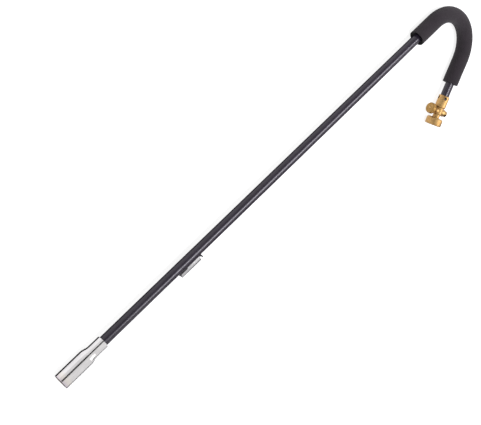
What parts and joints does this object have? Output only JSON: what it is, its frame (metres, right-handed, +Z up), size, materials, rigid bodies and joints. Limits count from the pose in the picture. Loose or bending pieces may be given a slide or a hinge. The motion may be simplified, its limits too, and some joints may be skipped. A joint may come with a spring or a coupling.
{
  "type": "propane torch",
  "caption": "Long cane-handled propane torch: burner bell on a slim steel tube, foam-covered crook, brass needle valve and a threaded cup for a gas cylinder.",
  "frame": {"origin": "centre of the burner's open mouth, on the axis of the straight tube", "axes": "+X along the straight tube from the burner to the handle; the crook curls towards -Y; +Z up, square to the crook's plane, with the torch lying flat"},
  "size_m": [0.9498, 0.2109, 0.03],
  "materials": {
    "powder_steel": "charcoal powder coat, fine orange peel, semi-matt",
    "foam": "closed-cell foam, matt charcoal",
    "burner_steel": "bright satin stainless tube",
    "bare_steel": "plain machined steel",
    "holder_steel": "heat-stained stainless sheet",
    "brass_body": "satin machined brass",
    "brass_knob": "satin turned brass with a fluted rim",
    "brass_small": "bright machined brass",
    "bronze_filter": "sintered bronze",
    "stainless_stem": "ground stainless rod",
    "packing": "white packing ring",
    "copper_washer": "soft copper washer",
    "gasket_rubber": "black nitrile rubber",
    "screen_wire": "woven stainless wire",
    "zinc_clip": "zinc-plated sheet steel",
    "black_bracket": "black-coated sheet steel",
    "rivet_steel": "plated steel rivets"
  },
  "bodies": {
    "torch": {"main_tube": "powder_steel", "foam_grip": "foam", "burner_collar": "bare_steel", "burner_bell": "burner_steel", "flame_holder": "holder_steel", "mixer_socket": "brass_body", "valve_body": "brass_body", "gas_jet": "brass_small", "jet_filter": "bronze_filter", "packing_ring": "packing", "packing_nut": "brass_small", "valve_plug": "brass_small", "plug_washer": "copper_washer", "cylinder_coupling": "brass_body", "coupling_gasket": "gasket_rubber", "depressor_pin": "brass_small", "inlet_screen": "screen_wire", "striker_clip": "zinc_clip", "clip_bracket": "black_bracket", "clip_rivets": "rivet_steel"},
    "needle": {"needle_tip": "stainless_stem"},
    "spindle": {"needle_spindle": "stainless_stem", "knob": "brass_knob", "knob_screw": "brass_small"}
  },
  "joints": [
    {"name": "needle_travel", "type": "slide", "parent": "torch", "child": "needle", "axis": [-0.5493, 0.8174, -0.1736], "range_m": [0, 0.002]},
    {"name": "knob_turn", "type": "hinge", "parent": "needle", "child": "spindle", "pos_m": [0.82534, -0.16976, 0], "axis": [-0.5493, 0.8174, -0.1736], "range_deg": [0, 720]}
  ],
  "couplings": [
    {"joint": "knob_turn", "follows": "needle_travel", "rad_per_m": 6283.2}
  ]
}
